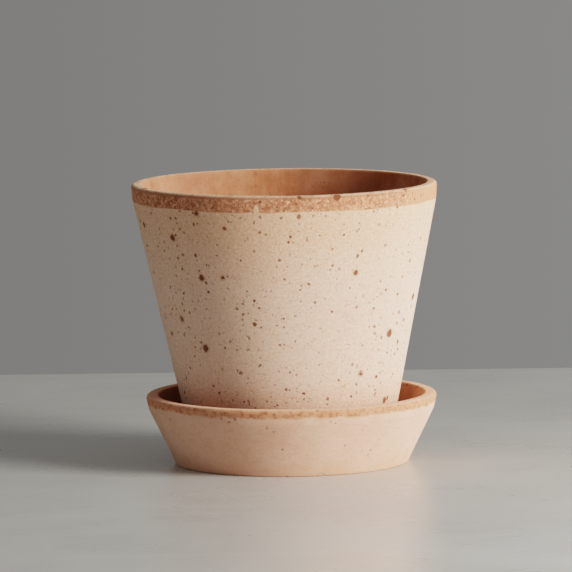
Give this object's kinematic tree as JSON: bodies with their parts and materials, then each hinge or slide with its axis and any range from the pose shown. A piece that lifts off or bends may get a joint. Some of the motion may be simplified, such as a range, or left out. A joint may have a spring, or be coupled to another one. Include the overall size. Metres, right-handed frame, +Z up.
{
  "type": "plant pot with saucer",
  "caption": "Flared round plant pot of slipped terracotta with a drainage hole, standing loose in a matching shallow saucer with a thick rounded lip.",
  "frame": {"origin": "under the middle of the pot's rim, in the plane of the saucer's underside, where the set stands on a table or shelf", "axes": "+Z up, the way the pot lifts; +X to the right, the way the pot's foot and the saucer stand off the rim's middle; -Y is the front"},
  "size_m": [0.14, 0.14, 0.129],
  "materials": {
    "saucer_clay": "dry fired clay, thinly slipped",
    "pot_clay": "dry fired clay, chalky slip with iron specks"
  },
  "bodies": {
    "saucer": {"saucer": "saucer_clay"},
    "pot": {"pot": "pot_clay"}
  },
  "joints": [
    {"name": "pot_lift", "type": "slide", "parent": "saucer", "child": "pot", "axis": [0, 0, 1], "range_m": [0, 0.06]}
  ]
}
